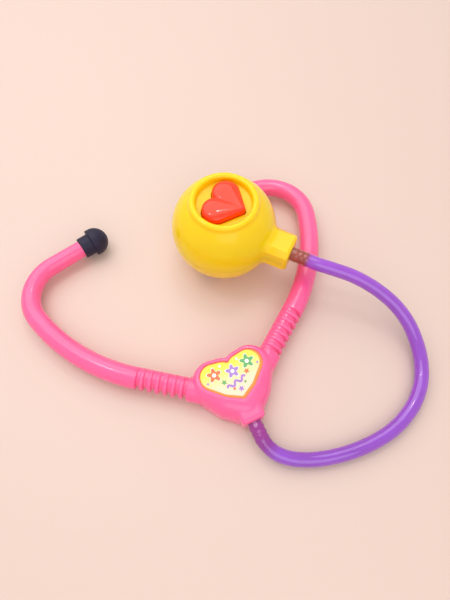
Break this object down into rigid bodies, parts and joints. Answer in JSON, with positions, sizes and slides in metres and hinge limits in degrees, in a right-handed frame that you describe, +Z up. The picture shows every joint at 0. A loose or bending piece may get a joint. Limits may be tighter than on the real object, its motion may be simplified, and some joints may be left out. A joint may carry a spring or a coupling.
{
  "type": "toy stethoscope",
  "caption": "Toy stethoscope: springy headset with soft ear tips, heart-shaped yoke, soft hose and a ball-shaped chest piece with a push-button heart.",
  "frame": {"origin": "on the floor, on the flat back cover of the yoke, on the headset's middle line level with the roots of the two necks", "axes": "+X toward the arm on the right as the yoke's picture side is seen with the ears away, +Y from the yoke toward the ear tips, +Z up out of the yoke's picture side"},
  "size_m": [0.1654, 0.1546, 0.0436],
  "materials": {
    "pink_plastic": "glossy moulded plastic, soft enough to flex",
    "yellow_plastic": "glossy moulded plastic",
    "cream_plastic": "satin moulded plastic",
    "red_plastic": "glossy, slightly see-through",
    "purple_hose": "glossy soft vinyl, slightly see-through",
    "navy_rubber": "matte soft rubber",
    "sticker": "satin printed film",
    "steel": "plain"
  },
  "bodies": {
    "root": {"yoke_front": "pink_plastic", "yoke_back": "pink_plastic", "yoke_sticker": "sticker", "yoke_screws": "steel", "hose_connector": "pink_plastic", "left_neck": "pink_plastic", "right_neck": "pink_plastic", "hose": "purple_hose", "chest_connector": "yellow_plastic", "chest_front": "yellow_plastic", "chest_back": "yellow_plastic", "chest_diaphragm": "cream_plastic", "chest_screws": "steel", "heart_spring": "steel"},
    "left_arm": {"left_arm": "pink_plastic", "left_ear_tip": "navy_rubber"},
    "right_arm": {"right_arm": "pink_plastic", "right_ear_tip": "navy_rubber"},
    "heart_button": {"heart_button": "red_plastic"}
  },
  "joints": [
    {"name": "left_arm_flex", "type": "hinge", "parent": "root", "child": "left_arm", "pos_m": [-0.02959, 0.00687, 0.007], "axis": [0, 0, 1], "range_deg": [-4, 20], "stiffness_Nm_per_rad": 0.15, "deforming": ["left_neck"]},
    {"name": "right_arm_flex", "type": "hinge", "parent": "root", "child": "right_arm", "pos_m": [0.02959, 0.00687, 0.007], "axis": [0, 0, -1], "range_deg": [-4, 20], "stiffness_Nm_per_rad": 0.15, "deforming": ["right_neck"]},
    {"name": "heart_press", "type": "slide", "parent": "root", "child": "heart_button", "axis": [0, 0, -1], "range_m": [0, 0.002], "stiffness_N_per_m": 1000, "springref_m": -0.001, "deforming": ["heart_spring"]}
  ]
}
